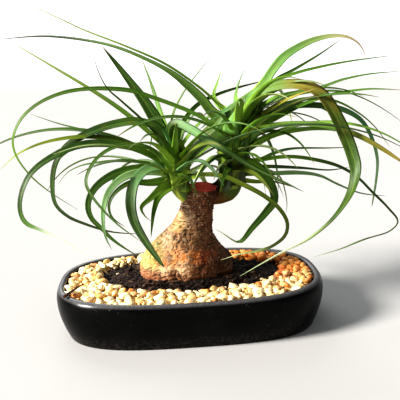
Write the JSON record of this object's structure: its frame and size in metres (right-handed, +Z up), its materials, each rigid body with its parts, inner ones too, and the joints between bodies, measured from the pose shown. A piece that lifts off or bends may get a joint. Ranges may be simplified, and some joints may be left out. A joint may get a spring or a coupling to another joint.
{
  "type": "ponytail palm bonsai",
  "caption": "Small ponytail palm with a swollen corky trunk and arching strap leaves, planted in a low oval black pot of soil topped with cream pebbles.",
  "frame": {"origin": "middle of the pot's flat underside", "axes": "+Z up, +X along the pot's long side and the widest reach of the leaves, -Y towards the viewer"},
  "size_m": [0.4121, 0.2901, 0.2989],
  "materials": {
    "black_glaze": "satin",
    "potting_soil": "loose dark bark soil",
    "cream_pebbles": "smooth river pebbles",
    "corky_bark": "cracked corky bark",
    "leaf_green": "leathery leaf, slightly glossy"
  },
  "bodies": {
    "root": {"pot": "black_glaze", "soil": "potting_soil", "gravel": "cream_pebbles", "trunk": "corky_bark", "left_shoot": "leaf_green", "right_shoot": "leaf_green"}
  },
  "joints": []
}
